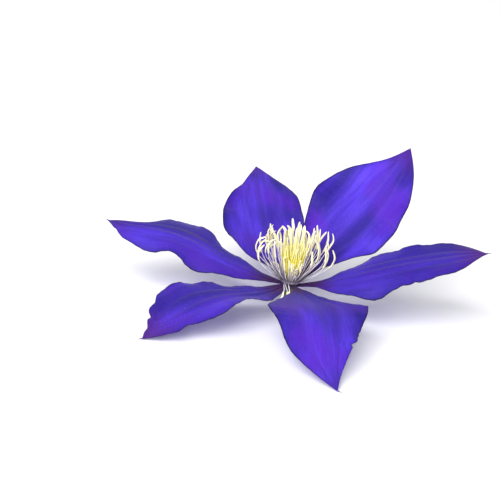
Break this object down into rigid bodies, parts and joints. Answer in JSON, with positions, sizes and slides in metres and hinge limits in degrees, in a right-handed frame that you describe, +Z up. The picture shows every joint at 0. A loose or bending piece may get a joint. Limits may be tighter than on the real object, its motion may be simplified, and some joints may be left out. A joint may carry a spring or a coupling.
{
  "type": "clematis flower",
  "caption": "Open large-flowered clematis bloom as picked, with pointed blue-violet tepals spread round a brush of cream stamens and a yellow tuft of styles.",
  "frame": {"origin": "middle of the outline, on the surface that the bloom lies on", "axes": "+Z up, out of the face of the bloom; +Y to the far side, where the tepals climb; +X to the right, along the widest spread of the tepals"},
  "size_m": [0.1366, 0.1322, 0.0559],
  "materials": {
    "tepal": "blue-violet petal tissue with a soft satin sheen, three paler ribs, fine veins and a darker rim",
    "stalk": "downy green stalk, greyer at the receptacle, paler at the cut end",
    "stamen": "cream filaments and anthers, tinted lilac at the foot",
    "pistil": "soft yellow styles with paler, silky ends"
  },
  "bodies": {
    "root": {"tepal_right": "tepal", "tepal_back_right": "tepal", "tepal_back": "tepal", "tepal_left": "tepal", "tepal_front_left": "tepal", "tepal_front": "tepal", "stalk": "stalk", "stamens": "stamen", "pistil": "pistil"}
  },
  "joints": []
}
